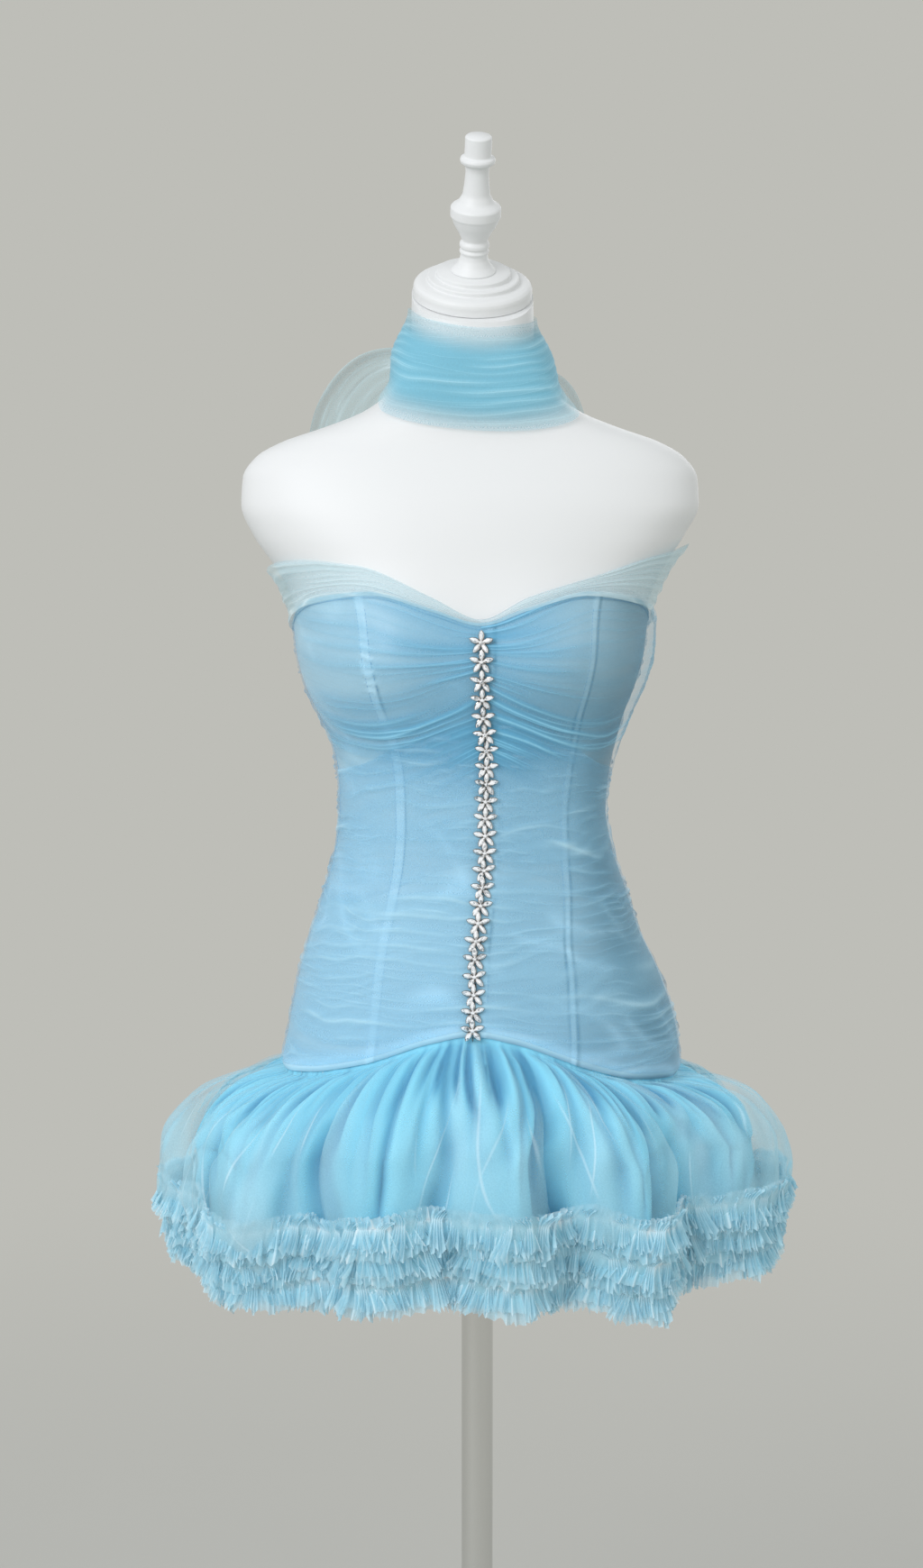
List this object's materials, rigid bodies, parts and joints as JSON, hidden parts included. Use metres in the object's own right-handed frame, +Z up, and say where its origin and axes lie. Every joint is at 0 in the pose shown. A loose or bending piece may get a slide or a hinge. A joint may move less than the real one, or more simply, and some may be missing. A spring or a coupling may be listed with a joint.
{
  "type": "mini dress on a dress form",
  "caption": "Strapless ruched tulle mini dress with a puffed ruffle skirt, crystal flower trim and matching neck scarf, worn by a limbless dress form on a pole stand.",
  "frame": {"origin": "centre of the stand base's underside, on the floor and on the pole's axis", "axes": "+Z up, -Y to the front of the dress, +X to the wearer's left"},
  "size_m": [0.5436, 0.4495, 1.6797],
  "materials": {
    "form_white": "smooth white lacquered fibreglass",
    "pole_chrome": "polished chromed steel tube",
    "base_metal": "plain powder-coated steel plate",
    "corset_satin": "pale blue polyester satin",
    "body_tulle": "sheer ruched aqua tulle",
    "sheer_tulle": "sheer aqua tulle",
    "skirt_lining": "aqua satin, gathered",
    "skirt_tulle": "crisp sheer aqua tulle",
    "ruffle_tulle": "pleated aqua tulle strip with raw edges",
    "crystal": "clear faceted stones in silvery settings"
  },
  "bodies": {
    "root": {"form_torso": "form_white", "form_neck_cap": "form_white", "form_finial": "form_white", "stand_pole": "pole_chrome", "stand_base": "base_metal", "corset_front_left": "corset_satin", "corset_side_front_left": "corset_satin", "corset_side_back_left": "corset_satin", "corset_back_left": "corset_satin", "overlay_front_left": "body_tulle", "overlay_back_left": "body_tulle", "bust_drape_left": "body_tulle", "neck_band_left": "sheer_tulle", "scarf_end_left": "sheer_tulle", "corset_front_right": "corset_satin", "corset_side_front_right": "corset_satin", "corset_side_back_right": "corset_satin", "corset_back_right": "corset_satin", "overlay_front_right": "body_tulle", "overlay_back_right": "body_tulle", "bust_drape_right": "body_tulle", "neck_band_right": "sheer_tulle", "scarf_end_right": "sheer_tulle", "back_zip": "corset_satin", "neck_band_back": "sheer_tulle", "scarf_knot": "sheer_tulle", "scarf_wrap": "sheer_tulle", "underskirt_front": "skirt_lining", "underskirt_back": "skirt_lining", "tulle_skirt_front": "skirt_tulle", "tulle_skirt_back": "skirt_tulle", "ruffle_1_front": "ruffle_tulle", "ruffle_1_back": "ruffle_tulle", "ruffle_2_front": "ruffle_tulle", "ruffle_2_back": "ruffle_tulle", "ruffle_3_front": "ruffle_tulle", "ruffle_3_back": "ruffle_tulle", "flower_01": "crystal", "flower_02": "crystal", "flower_03": "crystal", "flower_04": "crystal", "flower_05": "crystal", "flower_06": "crystal", "flower_07": "crystal", "flower_08": "crystal", "flower_09": "crystal", "flower_10": "crystal", "flower_11": "crystal", "flower_12": "crystal", "flower_13": "crystal", "flower_14": "crystal", "flower_15": "crystal", "flower_16": "crystal", "flower_17": "crystal", "flower_18": "crystal", "flower_19": "crystal", "flower_20": "crystal", "flower_21": "crystal", "flower_22": "crystal", "flower_23": "crystal"}
  },
  "joints": []
}
